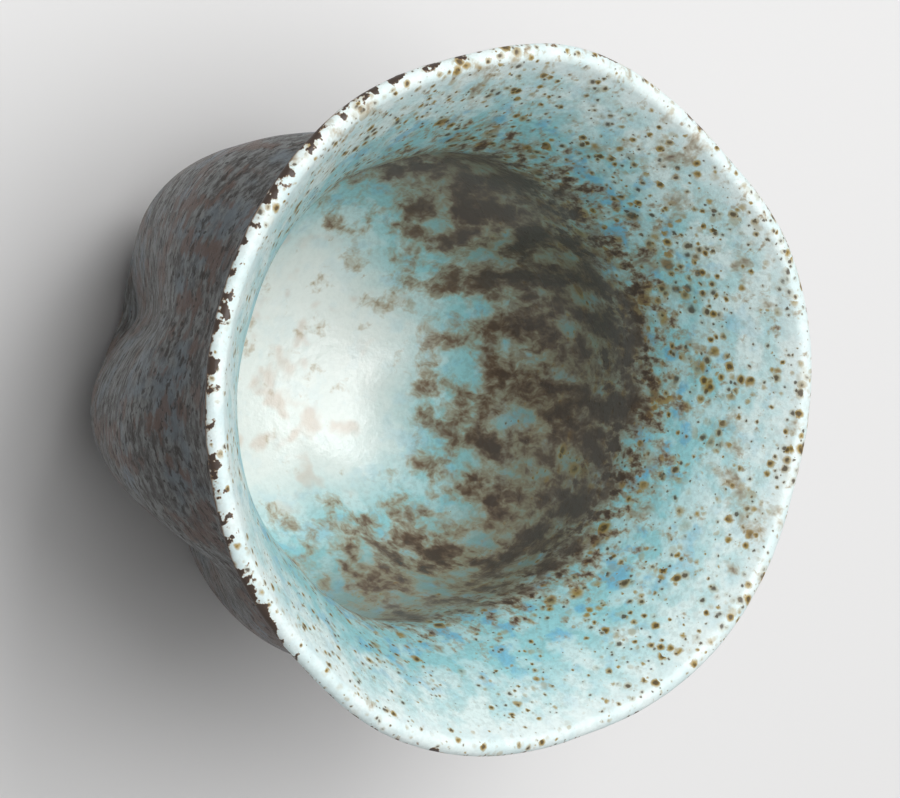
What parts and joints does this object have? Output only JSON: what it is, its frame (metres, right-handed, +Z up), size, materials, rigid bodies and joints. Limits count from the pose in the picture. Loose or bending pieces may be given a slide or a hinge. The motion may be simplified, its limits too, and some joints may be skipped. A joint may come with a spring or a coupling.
{
  "type": "tea cup",
  "caption": "Handleless stoneware tea cup with a lobed belly, drawn-in neck and flared scalloped mouth, speckled turquoise glaze inside and a thin dark mottled coat outside, on a bare foot ring.",
  "frame": {"origin": "centre of the foot ring on the surface that the cup stands on", "axes": "+Z up along the cup's axis towards the mouth, +X through the crest of a lobe"},
  "size_m": [0.074, 0.073, 0.0598],
  "materials": {
    "bare_clay": "matt iron-rich stoneware",
    "foot_clay": "bare stoneware, worn smooth where it stands",
    "turquoise_glaze": "glossy pale turquoise with brown iron speckles",
    "dark_glaze": "thin coat of the same glaze, broken into a brown and grey mottle",
    "base_glaze": "thin coat broken into a brown and grey mottle"
  },
  "bodies": {
    "root": {"clay_body": "bare_clay", "foot_ring": "foot_clay", "inside_glaze": "turquoise_glaze", "outside_glaze": "dark_glaze", "base_glaze": "base_glaze"}
  },
  "joints": []
}
